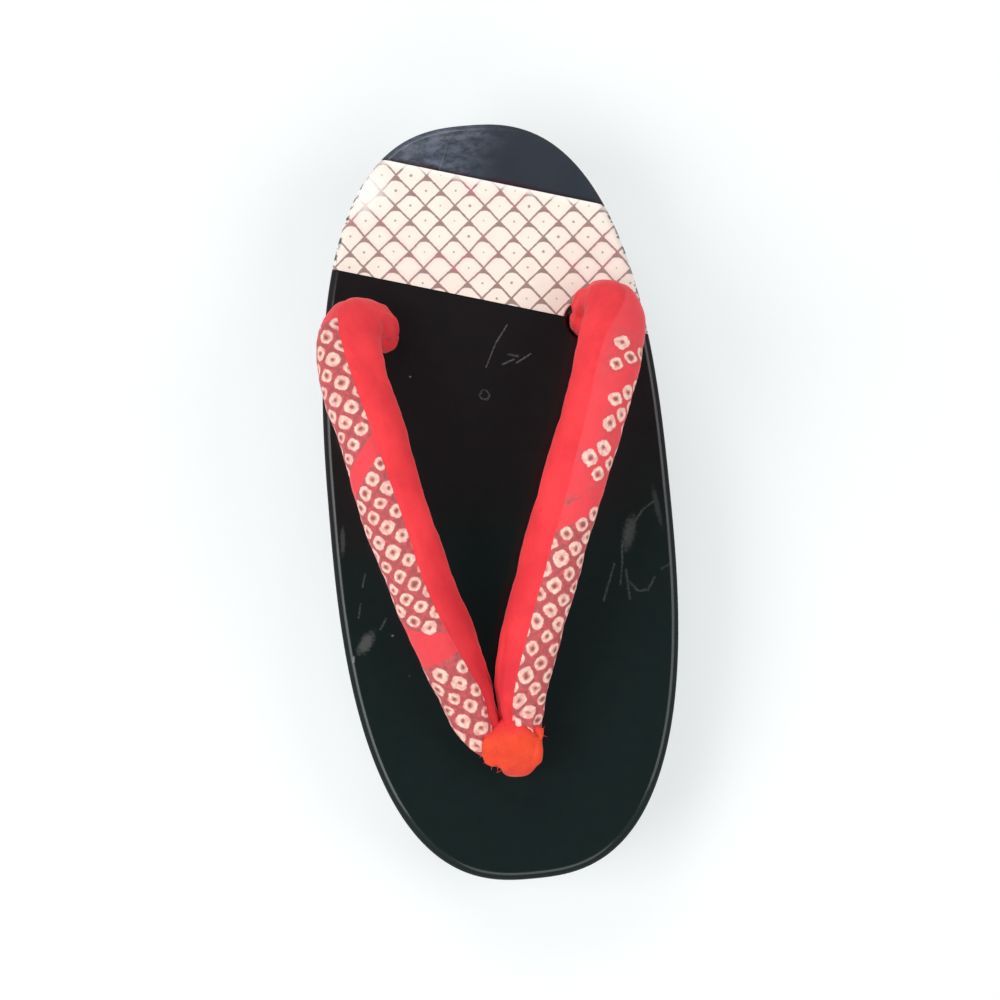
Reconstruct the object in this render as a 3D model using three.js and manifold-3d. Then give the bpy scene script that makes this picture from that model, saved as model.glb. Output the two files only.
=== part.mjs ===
// A black-lacquered wooden sandal with a padded V-shaped strap, in millimetres.
// +X is to the right of the photographed sandal, +Y points to the heel and +Z up.
// The origin lies on the floor, under the middle of the outline.

import * as THREE from 'three';
import { mergeVertices } from 'three/addons/utils/BufferGeometryUtils.js';
import Module from 'manifold-3d';

const wasm = await Module();
wasm.setup();

// Sole: outline and heights
const LENGTH = 225;
const WIDTH = 102;
const OUTLINE_POWER = 2.62; // 2 is an ellipse, more is fuller at the corners
const TOE_FULLNESS = 0.015; // how much wider the toe end is, as a share
const TOE_HEIGHT = 31;
const HEEL_HEIGHT = 46;
const TOP_EDGE = 2.5; // radius of the rim round the bed
const BOTTOM_EDGE = 1.2; // chamfer where the walls meet the floor
const WALL_TAPER = 1; // how far the walls lean in on their way down

// Sole: underside
const FRONT_BLOCK_LENGTH = 101;
const HEEL_BLOCK_LENGTH = 50;
const BOARD_THICKNESS = 13; // wood left over the arch
const TOE_WALL = 18; // height of the wall at the toe, above the toe spring
const TOE_SPRING_LENGTH = 32;
const HEEL_SPRING_LENGTH = 8;
const HEEL_SPRING_HEIGHT = 7;
const FRONT_FACE_SLOPE = 6; // how far the front block's rear face leans
const ARCH_ROUND = 10; // inner corner at the front block
const HEEL_FACE_ROUND = 3; // inner corner at the heel block
const BLOCK_CORNER = 3; // outer corners of the blocks

// Holes, knots and the pocket of the front knot
const FRONT_HOLE = 9.5;
const FRONT_HOLE_FROM_TOE = 40;
const REAR_HOLE = 11;
const REAR_HOLE_SPACING = 60;
const STEM_PLAY = 1.2; // room round the front thong's stem in its hole
const TAIL_PLAY = 0.9; // room round a strap's tail in its hole
const TAIL_RISE = 2.5; // how far a tail stands straight over the bed
const KNOT_ACROSS = 17;
const KNOT_CORD = 3.8;
const POCKET_PLAY = 1.5;
const POCKET_DEPTH = 18;

// Printed band across the heel
const BAND_WIDTH = 35;
const BAND_SLANT = 16.5; // degrees, the right side is nearer the toe
const BAND_FROM_HEEL = 34.3; // from the heel end to the middle of the band
const BAND_THICKNESS = 0.5;

// Straps and front thong
const STRAP_WIDTH = 19.5;
const STRAP_THICKNESS = 14.5;
const STRAP_LIFT = 32.5; // middle of the strap over the bed, at its highest
const THONG_WIDTH = 18;
const THONG_CROTCH_WIDTH = 8;
const THONG_THICKNESS = 4.2;
const THONG_REACH = 15; // length of the loop along the sandal, at mid thickness

const CLEARANCE = 0.3; // between pieces that touch

// Facets
const OUTLINE_SIDES = 96;
const STRAP_SIDES = 16;
const STRAP_STEPS = 36;
const THONG_SIDES = 10;
const THONG_STEPS = 22;
const HOLE_SIDES = 20;

// Worked out from the sizes above
const HALF_LENGTH = LENGTH / 2;
const HALF_WIDTH = WIDTH / 2;
const SLOPE = (HEEL_HEIGHT - TOE_HEIGHT) / LENGTH;
const FRONT_HOLE_Y = FRONT_HOLE_FROM_TOE - HALF_LENGTH;
const REAR_HOLE_Y = HALF_LENGTH - HEEL_BLOCK_LENGTH - KNOT_ACROSS / 2 - HEEL_FACE_ROUND;
const RECESS_DEPTH = BAND_THICKNESS + CLEARANCE;
const ABOVE = HEEL_HEIGHT + TOP_EDGE; // a height clear of the bed, for cutters
const OVERRUN = 10; // how far cutters stick out of what they cut

// Sections of each strap, from the joint at the front hole back to the rear hole.
// along: share of the way from the front hole to the rear holes
// across: share of half the spacing of the rear holes
// joint, rise: shares of the joint's lift and of the strap's full lift
// wide, thick: shares of the strap's width and thickness
const LEFT_STRAP = [
  { along: -0.022, across: -0.1, joint: 1, rise: 0, wide: 0.45, thick: 0.56 },
  { along: 0.022, across: -0.34, joint: 1, rise: 0.04, wide: 0.6, thick: 0.66 },
  { along: 0.062, across: -0.45, joint: 1, rise: 0.1, wide: 0.7, thick: 0.8 },
  { along: 0.126, across: -0.517, joint: 0.7, rise: 0.27, wide: 0.83, thick: 0.92 },
  { along: 0.215, across: -0.633, joint: 0.5, rise: 0.46, wide: 0.94, thick: 1 },
  { along: 0.369, across: -0.843, joint: 0.2, rise: 0.74, wide: 0.97, thick: 1 },
  { along: 0.555, across: -1.063, joint: 0, rise: 0.955, wide: 1, thick: 1 },
  { along: 0.725, across: -1.2, joint: 0, rise: 1, wide: 1.01, thick: 1 },
  { along: 0.87, across: -1.333, joint: 0, rise: 0.9, wide: 1.02, thick: 1 },
  { along: 0.962, across: -1.36, joint: 0, rise: 0.72, wide: 0.97, thick: 0.98 },
  { along: 1.02, across: -1.25, joint: 0, rise: 0.51, wide: 0.84, thick: 0.92 },
  { along: 1.026, across: -1.07, joint: 0, rise: 0.27, wide: 0.64, thick: 0.8 },
];
const RIGHT_STRAP = [
  { along: -0.022, across: -0.12, joint: 1, rise: 0, wide: 0.45, thick: 0.56 },
  { along: 0.02, across: -0.01, joint: 1, rise: 0.04, wide: 0.55, thick: 0.66 },
  { along: 0.069, across: 0, joint: 1, rise: 0.09, wide: 0.66, thick: 0.8 },
  { along: 0.126, across: 0.02, joint: 0.7, rise: 0.26, wide: 0.78, thick: 0.9 },
  { along: 0.223, across: 0.12, joint: 0.5, rise: 0.45, wide: 0.89, thick: 0.97 },
  { along: 0.393, across: 0.367, joint: 0.2, rise: 0.74, wide: 0.92, thick: 0.97 },
  { along: 0.587, across: 0.667, joint: 0, rise: 0.955, wide: 0.94, thick: 0.97 },
  { along: 0.737, across: 0.923, joint: 0, rise: 1, wide: 0.95, thick: 0.97 },
  { along: 0.874, across: 1.12, joint: 0, rise: 0.88, wide: 0.98, thick: 0.98 },
  { along: 0.96, across: 1.23, joint: 0, rise: 0.69, wide: 0.95, thick: 0.96 },
  { along: 1.02, across: 1.22, joint: 0, rise: 0.48, wide: 0.8, thick: 0.9 },
  { along: 1.028, across: 1.1, joint: 0, rise: 0.25, wide: 0.62, thick: 0.78 },
];
const JOINT_ACROSS = -0.11; // the joint leans to the left of the front hole
const CROTCH_ACROSS = -0.21; // the V's crotch, where the loop comes up

function bedHeight(y) {
  return TOE_HEIGHT + SLOPE * (y + HALF_LENGTH);
}

// Solids

function toSolid(geometry) {
  const bare = geometry.clone();
  bare.deleteAttribute('normal');
  bare.deleteAttribute('uv');
  const merged = mergeVertices(bare, 1e-4);
  return new wasm.Manifold(new wasm.Mesh({
    numProp: 3,
    vertProperties: new Float32Array(merged.attributes.position.array),
    triVerts: new Uint32Array(merged.index.array),
  }));
}

function toGeometry(solid) {
  const mesh = solid.getMesh();
  const geometry = new THREE.BufferGeometry();
  geometry.setAttribute('position', new THREE.BufferAttribute(mesh.vertProperties, 3));
  geometry.setIndex(new THREE.BufferAttribute(mesh.triVerts, 1));
  geometry.computeVertexNormals();
  return geometry;
}

// Skin over a row of rings with equal counts of points, each ring turning
// anticlockwise as seen from the last one; a closed row joins its last ring to its first.
function loft(rings, closed = false) {
  const sides = rings[0].length;
  const positions = rings.flat().flatMap((point) => point.toArray());
  const index = [];
  const spans = closed ? rings.length : rings.length - 1;
  for (let i = 0; i < spans; i += 1) {
    const here = i * sides;
    const next = ((i + 1) % rings.length) * sides;
    for (let j = 0; j < sides; j += 1) {
      const k = (j + 1) % sides;
      index.push(here + j, here + k, next + k, here + j, next + k, next + j);
    }
  }
  if (!closed) {
    const caps = [{ ring: 0, flip: true }, { ring: rings.length - 1, flip: false }];
    for (const { ring, flip } of caps) {
      const middle = new THREE.Vector3();
      rings[ring].forEach((point) => middle.addScaledVector(point, 1 / sides));
      const centre = positions.length / 3;
      positions.push(...middle.toArray());
      for (let j = 0; j < sides; j += 1) {
        const a = ring * sides + j;
        const b = ring * sides + ((j + 1) % sides);
        index.push(centre, flip ? b : a, flip ? a : b);
      }
    }
  }
  const geometry = new THREE.BufferGeometry();
  geometry.setAttribute('position', new THREE.Float32BufferAttribute(positions, 3));
  geometry.setIndex(index);
  return geometry;
}

// Point of a superellipse with the given half axes
function ovalPoint(angle, halfX, halfY, power) {
  const c = Math.cos(angle);
  const s = Math.sin(angle);
  const x = Math.sign(c) * Math.abs(c) ** (2 / power) * halfX;
  const y = Math.sign(s) * Math.abs(s) ** (2 / power) * halfY;
  return [x, y];
}

function makeMesh(name, geometry, color, roughness) {
  const material = new THREE.MeshStandardMaterial({ color, roughness, metalness: 0 });
  const mesh = new THREE.Mesh(geometry, material);
  mesh.name = name;
  return mesh;
}

// Sole

// Ring of the outline, moved in by inset, at the height that heightAt gives
function outlineRing(inset, heightAt) {
  const ring = [];
  for (let i = 0; i < OUTLINE_SIDES; i += 1) {
    const angle = (i / OUTLINE_SIDES) * 2 * Math.PI;
    const [x, y] = ovalPoint(angle, HALF_WIDTH - inset, HALF_LENGTH - inset, OUTLINE_POWER);
    const fullness = 1 - TOE_FULLNESS * (y / HALF_LENGTH);
    ring.push(new THREE.Vector3(x * fullness, y, heightAt(y)));
  }
  return ring;
}

// The sole before its underside is cut; skin makes it smaller at its bed and walls
function soleBlank(skin = 0) {
  const edge = TOP_EDGE - skin;
  const rings = [
    outlineRing(WALL_TAPER + BOTTOM_EDGE + skin, () => 0),
    outlineRing(WALL_TAPER + skin, () => BOTTOM_EDGE),
  ];
  for (const turn of [0, 30, 60, 90]) {
    const angle = THREE.MathUtils.degToRad(turn);
    const inset = skin + edge * (1 - Math.cos(angle));
    const drop = skin + edge * (1 - Math.sin(angle));
    rings.push(outlineRing(inset, (y) => bedHeight(y) - drop));
  }
  return toSolid(loft(rings));
}

// Closed outline through corners, each cut back by its own round
function roundedShape(corners) {
  const shape = new THREE.Shape();
  corners.forEach(({ y, z, round = 0 }, i) => {
    const here = new THREE.Vector2(y, z);
    const before = corners[(i + corners.length - 1) % corners.length];
    const after = corners[(i + 1) % corners.length];
    const back = new THREE.Vector2(before.y, before.z).sub(here).setLength(round).add(here);
    const on = new THREE.Vector2(after.y, after.z).sub(here).setLength(round).add(here);
    if (i === 0) {
      shape.moveTo(back.x, back.y);
    } else {
      shape.lineTo(back.x, back.y);
    }
    if (round > 0) {
      shape.quadraticCurveTo(here.x, here.y, on.x, on.y);
    }
  });
  shape.closePath();
  return shape;
}

// Side view of the sole, run right across its width
function sideProfile() {
  const toeY = -HALF_LENGTH - OVERRUN;
  const heelY = HALF_LENGTH + OVERRUN;
  const frontFaceY = FRONT_BLOCK_LENGTH - HALF_LENGTH;
  const heelFaceY = HALF_LENGTH - HEEL_BLOCK_LENGTH;
  const ceilingAt = (y) => bedHeight(y) - BOARD_THICKNESS;
  const springY = TOE_SPRING_LENGTH - HALF_LENGTH;
  const springRise = (TOE_HEIGHT - TOE_WALL) * (1 + OVERRUN / TOE_SPRING_LENGTH * 2);
  const bendY = (toeY + springY) / 2;
  const heelBendY = HALF_LENGTH - HEEL_SPRING_LENGTH;
  const heelRise = HEEL_SPRING_HEIGHT * (1 + OVERRUN / HEEL_SPRING_LENGTH);
  const shape = roundedShape([
    { y: toeY, z: springRise },
    { y: bendY, z: 0, round: springY - bendY },
    { y: frontFaceY, z: 0, round: BLOCK_CORNER },
    { y: frontFaceY + FRONT_FACE_SLOPE, z: ceilingAt(frontFaceY), round: ARCH_ROUND },
    { y: heelFaceY, z: ceilingAt(heelFaceY), round: HEEL_FACE_ROUND },
    { y: heelFaceY, z: 0, round: BLOCK_CORNER / 2 },
    { y: heelBendY, z: 0, round: HEEL_SPRING_LENGTH },
    { y: heelY, z: heelRise },
    { y: heelY, z: ABOVE },
    { y: toeY, z: ABOVE },
  ]);
  const across = WIDTH + 2 * OVERRUN;
  const geometry = new THREE.ExtrudeGeometry(shape, {
    depth: across,
    bevelEnabled: false,
    curveSegments: 6,
  });
  // the shape's own x and y become the part's y and z, its depth runs along x
  geometry.applyMatrix4(new THREE.Matrix4().set(
    0, 0, 1, -across / 2,
    1, 0, 0, 0,
    0, 1, 0, 0,
    0, 0, 0, 1,
  ));
  return toSolid(geometry);
}

// Round cutter along Z
function bore(x, y, across, bottom, top) {
  const geometry = new THREE.CylinderGeometry(across / 2, across / 2, top - bottom, HOLE_SIDES);
  geometry.rotateX(Math.PI / 2);
  geometry.translate(x, y, (top + bottom) / 2);
  return toSolid(geometry);
}

// Slanted slab that takes in the band's stretch of the bed and its rim
function bandSlab(width) {
  const depth = TOP_EDGE + OVERRUN;
  const geometry = new THREE.BoxGeometry(2 * WIDTH, width, depth);
  geometry.rotateZ(THREE.MathUtils.degToRad(-BAND_SLANT));
  geometry.translate(0, HALF_LENGTH - BAND_FROM_HEEL, depth / 2 - TOP_EDGE);
  geometry.applyMatrix4(new THREE.Matrix4().set(
    1, 0, 0, 0,
    0, 1, 0, 0,
    0, SLOPE, 1, bedHeight(0),
    0, 0, 0, 1,
  ));
  return toSolid(geometry);
}

function rearHoles(across) {
  const [left, right] = [-1, 1].map((side) => {
    const x = side * REAR_HOLE_SPACING / 2;
    return bore(x, REAR_HOLE_Y, across, 0, ABOVE);
  });
  return left.add(right);
}

function makeSole() {
  const recess = bandSlab(BAND_WIDTH + 2 * CLEARANCE).subtract(soleBlank(RECESS_DEPTH));
  const pocket = bore(0, FRONT_HOLE_Y, KNOT_ACROSS + 2 * POCKET_PLAY, -OVERRUN, POCKET_DEPTH);
  let solid = soleBlank().intersect(sideProfile()).subtract(recess).subtract(pocket);
  solid = solid.subtract(bore(0, FRONT_HOLE_Y, FRONT_HOLE, 0, ABOVE));
  solid = solid.subtract(rearHoles(REAR_HOLE));
  return makeMesh('sole', toGeometry(solid), 0x14171a, 0.22);
}

function makeHeelBand() {
  const skin = soleBlank().subtract(soleBlank(BAND_THICKNESS));
  const solid = skin.intersect(bandSlab(BAND_WIDTH)).subtract(rearHoles(REAR_HOLE));
  return makeMesh('heel_band', toGeometry(solid), 0xf3e8dc, 0.6);
}

// Straps

const JOINT_THICKNESS = LEFT_STRAP[0].thick * STRAP_THICKNESS;
const JOINT_LIFT = THONG_THICKNESS + JOINT_THICKNESS / 2 + 3 * CLEARANCE;

// Points and section sizes of a strap, with its tail down the rear hole
function strapStations(table, side) {
  const stations = table.map((row) => {
    const y = THREE.MathUtils.lerp(FRONT_HOLE_Y, REAR_HOLE_Y, row.along);
    const lift = row.joint * JOINT_LIFT + row.rise * STRAP_LIFT;
    return {
      point: new THREE.Vector3(row.across * REAR_HOLE_SPACING / 2, y, bedHeight(y) + lift),
      wide: row.wide * STRAP_WIDTH,
      thick: row.thick * STRAP_THICKNESS,
    };
  });
  const tail = REAR_HOLE - 2 * TAIL_PLAY;
  const x = side * REAR_HOLE_SPACING / 2;
  const bed = bedHeight(REAR_HOLE_Y);
  for (const z of [bed + TAIL_RISE, bed - TAIL_RISE, bed - BOARD_THICKNESS]) {
    stations.push({ point: new THREE.Vector3(x, REAR_HOLE_Y, z), wide: tail, thick: tail });
  }
  return stations;
}

// Tube with a changing oval section; its width starts level and turns with the path
function sweep(stations, steps, sides) {
  const path = new THREE.CatmullRomCurve3(stations.map(({ point }) => point), false, 'centripetal');
  const sizes = new THREE.CatmullRomCurve3(
    stations.map(({ wide, thick }) => new THREE.Vector3(wide, thick, 0)),
    false,
    'catmullrom',
    0.5,
  );
  const level = new THREE.Vector3(0, 0, 1);
  let across = path.getTangent(0).cross(level).normalize();
  const rings = [];
  for (let i = 0; i <= steps; i += 1) {
    const t = i / steps;
    const centre = path.getPoint(t);
    const tangent = path.getTangent(t);
    across = across.clone().addScaledVector(tangent, -across.dot(tangent)).normalize();
    const up = across.clone().cross(tangent);
    const size = sizes.getPoint(t);
    const ring = [];
    for (let j = 0; j < sides; j += 1) {
      const [u, v] = ovalPoint((-j / sides) * 2 * Math.PI, size.x / 2, size.y / 2, 2.2);
      ring.push(centre.clone().addScaledVector(across, u).addScaledVector(up, v));
    }
    rings.push(ring);
  }
  return toSolid(loft(rings));
}

// Closed loop of the front thong, round the joint of the straps; play makes it fatter
function thongLoop(play = 0) {
  const halfReach = THONG_REACH / 2;
  const halfTall = (JOINT_THICKNESS + THONG_THICKNESS) / 2 + CLEARANCE;
  const middleZ = bedHeight(FRONT_HOLE_Y) + JOINT_LIFT;
  const rings = [];
  for (let i = 0; i < THONG_STEPS; i += 1) {
    const turn = (i / THONG_STEPS) * 2 * Math.PI;
    const front = (1 + Math.cos(turn)) / 2; // 1 at the toe side, 0 in the crotch
    const across = THREE.MathUtils.lerp(CROTCH_ACROSS, JOINT_ACROSS, front);
    const wide = THREE.MathUtils.lerp(THONG_CROTCH_WIDTH, THONG_WIDTH, front ** 0.6);
    const outward = new THREE.Vector3(0, -Math.cos(turn), Math.sin(turn));
    const centre = new THREE.Vector3(
      across * REAR_HOLE_SPACING / 2,
      FRONT_HOLE_Y + outward.y * halfReach,
      middleZ + outward.z * halfTall,
    );
    const ring = [];
    for (let j = 0; j < THONG_SIDES; j += 1) {
      const angle = (-j / THONG_SIDES) * 2 * Math.PI;
      const [u, v] = ovalPoint(angle, wide / 2 + play, THONG_THICKNESS / 2 + play, 2.4);
      ring.push(centre.clone().add(new THREE.Vector3(u, 0, 0)).addScaledVector(outward, v));
    }
    rings.push(ring);
  }
  return toSolid(loft(rings, true));
}

function makeStraps() {
  const left = sweep(strapStations(LEFT_STRAP, -1), STRAP_STEPS, STRAP_SIDES);
  const right = sweep(strapStations(RIGHT_STRAP, 1), STRAP_STEPS, STRAP_SIDES);
  const solid = left.add(right).subtract(thongLoop(CLEARANCE));
  return makeMesh('straps', toGeometry(solid), 0xe84850, 0.85);
}

function makeThong() {
  const stem = FRONT_HOLE - 2 * STEM_PLAY;
  const bed = bedHeight(FRONT_HOLE_Y);
  const stemStations = [
    { x: -STEM_PLAY / 2, z: bed + THONG_THICKNESS / 2 },
    { x: 0, z: POCKET_DEPTH },
  ].map(({ x, z }) => ({
    point: new THREE.Vector3(x, FRONT_HOLE_Y, z),
    wide: stem,
    thick: stem,
  }));
  const solid = thongLoop().add(sweep(stemStations, 1, THONG_SIDES));
  return makeMesh('toe_thong', toGeometry(solid), 0xf2502c, 0.85);
}

// Knots

// Overhand knot, flat against the wood above it
function makeKnot(name, x, y, ceiling, color) {
  const radius = (KNOT_ACROSS - KNOT_CORD) / 3;
  const geometry = new THREE.TorusKnotGeometry(radius, KNOT_CORD / 2, 36, 7, 2, 3);
  const mesh = makeMesh(name, geometry, color, 0.9);
  const halfTall = (radius + KNOT_CORD) / 2;
  mesh.position.set(x, y, ceiling - CLEARANCE - halfTall);
  return mesh;
}

const sandal = new THREE.Group();
sandal.add(makeSole(), makeHeelBand(), makeStraps(), makeThong());
sandal.add(makeKnot('front_knot', 0, FRONT_HOLE_Y, POCKET_DEPTH, 0xf2502c));
for (const [name, side] of [['rear_knot_left', -1], ['rear_knot_right', 1]]) {
  const ceiling = bedHeight(REAR_HOLE_Y) - BOARD_THICKNESS;
  const knot = makeKnot(name, side * REAR_HOLE_SPACING / 2, REAR_HOLE_Y, ceiling, 0xd8343c);
  knot.rotation.x = Math.atan(SLOPE);
  sandal.add(knot);
}

export default sandal;
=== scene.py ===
"""Looks of the lacquered wooden sandal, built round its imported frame.

Lengths are in millimetres until MM turns them into metres. +X is to the right of the
photographed sandal, +Y points to the heel and +Z up.
"""

import math

import bpy
import numpy as np
from mathutils import Matrix, Vector


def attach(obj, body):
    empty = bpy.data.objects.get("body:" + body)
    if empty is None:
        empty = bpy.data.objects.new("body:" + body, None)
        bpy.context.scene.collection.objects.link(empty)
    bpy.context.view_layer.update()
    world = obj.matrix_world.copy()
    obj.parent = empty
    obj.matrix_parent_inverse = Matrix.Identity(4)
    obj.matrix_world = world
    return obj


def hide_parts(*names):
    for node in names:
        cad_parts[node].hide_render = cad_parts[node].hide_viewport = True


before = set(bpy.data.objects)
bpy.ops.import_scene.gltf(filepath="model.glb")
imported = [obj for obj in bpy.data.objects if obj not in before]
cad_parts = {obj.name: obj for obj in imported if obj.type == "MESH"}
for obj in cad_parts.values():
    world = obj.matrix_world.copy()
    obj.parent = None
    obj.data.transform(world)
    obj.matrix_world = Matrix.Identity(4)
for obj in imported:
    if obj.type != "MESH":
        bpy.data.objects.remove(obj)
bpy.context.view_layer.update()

MM = 0.001

# Sole, as in the part's own source
LENGTH = 225
WIDTH = 102
OUTLINE_POWER = 2.62
TOE_FULLNESS = 0.015
TOE_HEIGHT = 31
HEEL_HEIGHT = 46
TOP_EDGE = 2.5
BOTTOM_EDGE = 1.2
WALL_TAPER = 1
FRONT_BLOCK_LENGTH = 101
HEEL_BLOCK_LENGTH = 50
BOARD_THICKNESS = 13
TOE_WALL = 18
TOE_SPRING_LENGTH = 32
HEEL_SPRING_LENGTH = 8
HEEL_SPRING_HEIGHT = 7
FRONT_FACE_SLOPE = 6
ARCH_ROUND = 10
HEEL_FACE_ROUND = 3
BLOCK_CORNER = 3
UNDER_EDGE = 0.7  # rounding where the walls meet the underside
UNDER_EDGE_STEPS = 3

# Holes, knots and pocket
FRONT_HOLE = 9.5
FRONT_HOLE_FROM_TOE = 40
REAR_HOLE = 11
REAR_HOLE_SPACING = 60
HOLE_RIM = 0.7
STEM_PLAY = 1.2
TAIL_PLAY = 0.9
TAIL_RISE = 2.5
KNOT_ACROSS = 17
KNOT_CORD = 3.8
POCKET_PLAY = 1.5
POCKET_DEPTH = 18

# Printed band
BAND_WIDTH = 35
BAND_SLANT = math.radians(16.5)
BAND_FROM_HEEL = 34.3
BAND_THICKNESS = 0.5
BAND_GAP = 0.2

# Straps and thong
STRAP_WIDTH = 19.5
STRAP_THICKNESS = 14.5
STRAP_LIFT = 32.5
SECTION_POWER = 2.2
THONG_THICKNESS = 4.2
THONG_REACH = 15
CLEARANCE = 0.3

# Worked out from the sizes above
HALF_LENGTH = LENGTH / 2
HALF_WIDTH = WIDTH / 2
SLOPE = (HEEL_HEIGHT - TOE_HEIGHT) / LENGTH
FRONT_HOLE_Y = FRONT_HOLE_FROM_TOE - HALF_LENGTH
REAR_HOLE_Y = HALF_LENGTH - HEEL_BLOCK_LENGTH - KNOT_ACROSS / 2 - HEEL_FACE_ROUND
RECESS_DEPTH = BAND_THICKNESS + BAND_GAP
OVERRUN = 10  # how far a cutting shape runs past what it cuts

# Columns: along, across, joint, rise, wide, thick, seam. The first six are the shares of
# the part's own strap tables; seam is how far, in degrees, the top seam turns outward.
LEFT_STRAP = [
    (-0.022, -0.1, 1, 0, 0.45, 0.56, -20),
    (0.022, -0.34, 1, 0.04, 0.6, 0.66, -20),
    (0.062, -0.45, 1, 0.1, 0.7, 0.8, -24),
    (0.126, -0.517, 0.7, 0.27, 0.83, 0.92, -21),
    (0.215, -0.633, 0.5, 0.46, 0.94, 1, -6),
    (0.369, -0.843, 0.2, 0.74, 0.97, 1, 4),
    (0.555, -1.063, 0, 0.955, 1, 1, 0),
    (0.725, -1.2, 0, 1, 1.01, 1, 7),
    (0.87, -1.333, 0, 0.9, 1.02, 1, 11),
    (0.962, -1.36, 0, 0.72, 0.97, 0.98, 20),
    (1.02, -1.25, 0, 0.51, 0.84, 0.92, 46),
    (1.026, -1.07, 0, 0.27, 0.64, 0.8, 58),
]
RIGHT_STRAP = [
    (-0.022, -0.12, 1, 0, 0.45, 0.56, -25),
    (0.02, -0.01, 1, 0.04, 0.55, 0.66, -25),
    (0.069, 0, 1, 0.09, 0.66, 0.8, -21),
    (0.126, 0.02, 0.7, 0.26, 0.78, 0.9, -12),
    (0.223, 0.12, 0.5, 0.45, 0.89, 0.97, -6),
    (0.393, 0.367, 0.2, 0.74, 0.92, 0.97, -5),
    (0.587, 0.667, 0, 0.955, 0.94, 0.97, -5),
    (0.737, 0.923, 0, 1, 0.95, 0.97, -13),
    (0.874, 1.12, 0, 0.88, 0.98, 0.98, -14),
    (0.96, 1.23, 0, 0.69, 0.95, 0.96, 4),
    (1.02, 1.22, 0, 0.48, 0.8, 0.9, 30),
    (1.028, 1.1, 0, 0.25, 0.62, 0.78, 38),
]
JOINT_THICKNESS = 0.56 * STRAP_THICKNESS
JOINT_LIFT = THONG_THICKNESS + JOINT_THICKNESS / 2 + 3 * CLEARANCE

# Finenesses
OUTLINE_POINTS = 300
RIM_STEPS = 8
ROUND_STEPS = 16
BORE_POINTS = 48
POCKET_POINTS = 64
SHARP_FROM = 60  # degrees
STRAP_RINGS = 230
STRAP_SIDES = 72
THONG_RINGS = 120
THONG_SIDES = 40
WIDE_FACE = 450  # square millimetres
WALL_FACE = 12  # square millimetres
WALL_LEAN = 0.15
ALONG_BED = math.cos(math.radians(0.3))
MEETS_SMOOTHLY = math.cos(math.radians(25))


def bed_height(y):
    return TOE_HEIGHT + SLOPE * (y + HALF_LENGTH)


def signed_power(value, power):
    return np.sign(value) * np.abs(value) ** power


def smoothstep(value, low, high):
    t = np.clip((value - low) / (high - low), 0, 1)
    return t * t * (3 - 2 * t)


def unit(vectors):
    """The same vectors with a length of 1."""
    return vectors / np.linalg.norm(vectors, axis=-1, keepdims=True)


def circle(count):
    """Angles evenly round a circle."""
    return np.arange(count) / count * 2 * np.pi


# Meshes

def add_mesh(name, points, faces, maps=None):
    """A mesh object from points in millimetres; maps holds a pair per face corner by name."""
    mesh = bpy.data.meshes.new(name)
    mesh.from_pydata((np.asarray(points, float) * MM).tolist(), [], faces)
    for layer_name, pairs in (maps or {}).items():
        layer = mesh.uv_layers.new(name=layer_name)
        layer.data.foreach_set("uv", np.asarray(pairs, np.float32).ravel())
    mesh.update()
    piece = bpy.data.objects.new(name, mesh)
    bpy.context.scene.collection.objects.link(piece)
    return piece


def loft_faces(rings, sides, closed=False):
    """Quads over rings of equal counts of points, with flat ends unless it is closed."""
    faces = []
    for i in range(rings if closed else rings - 1):
        here, there = i * sides, (i + 1) % rings * sides
        for j in range(sides):
            k = (j + 1) % sides
            faces.append((here + j, here + k, there + k, there + j))
    if not closed:
        faces.append(tuple(reversed(range(sides))))
        faces.append(tuple(range((rings - 1) * sides, rings * sides)))
    return faces


def apply_modifiers(piece):
    depsgraph = bpy.context.evaluated_depsgraph_get()
    mesh = bpy.data.meshes.new_from_object(piece.evaluated_get(depsgraph))
    piece.modifiers.clear()
    piece.data = mesh


def combine(piece, tool, operation):
    """Adds tool to piece, cuts it away or keeps what they share, and removes tool."""
    change = piece.modifiers.new("combine", "BOOLEAN")
    change.operation = operation
    change.solver = "EXACT"
    change.object = tool
    apply_modifiers(piece)
    bpy.data.objects.remove(tool)


def smooth(piece, angle=35):
    piece.data.shade_smooth()
    piece.data.set_sharp_from_angle(angle=math.radians(angle))


def flatten(piece):
    """Shades wide faces flat and walls upright, and the rounds beside them smoothly on."""
    mesh = piece.data
    corners = np.empty(len(mesh.loops), np.int32)
    mesh.loops.foreach_get("vertex_index", corners)
    bed = unit(np.array((0, -SLOPE, 1)))
    flat, others = [], []
    for face in mesh.polygons:
        wide = face.area > WIDE_FACE * MM * MM
        along_bed = abs(np.dot(face.normal, bed)) > ALONG_BED
        (flat if wide or along_bed else others).append(face)
    for face in flat:
        face.use_smooth = False
    normals = np.empty(len(mesh.loops) * 3, np.float32)
    mesh.corner_normals.foreach_get("vector", normals)
    normals = normals.reshape(-1, 3)
    meeting = {}
    for face in flat:
        for corner in face.loop_indices:
            normals[corner] = face.normal
            meeting.setdefault(corners[corner], []).append(np.array(face.normal))
    at_walls = {}
    for face in others:
        if abs(face.normal.z) < WALL_LEAN and face.area > WALL_FACE * MM * MM:
            for corner in face.loop_indices:
                at_walls.setdefault(corners[corner], []).append(np.array(face.normal))
    for point, around in at_walls.items():
        meeting.setdefault(point, []).append(unit(np.mean(around, axis=0)))
    for face in others:
        for corner in face.loop_indices:
            for normal in meeting.get(corners[corner], ()):
                if np.dot(normal, face.normal) > MEETS_SMOOTHLY:
                    normals[corner] = normal
    mesh.normals_split_custom_set(normals.tolist())


# Sole

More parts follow.
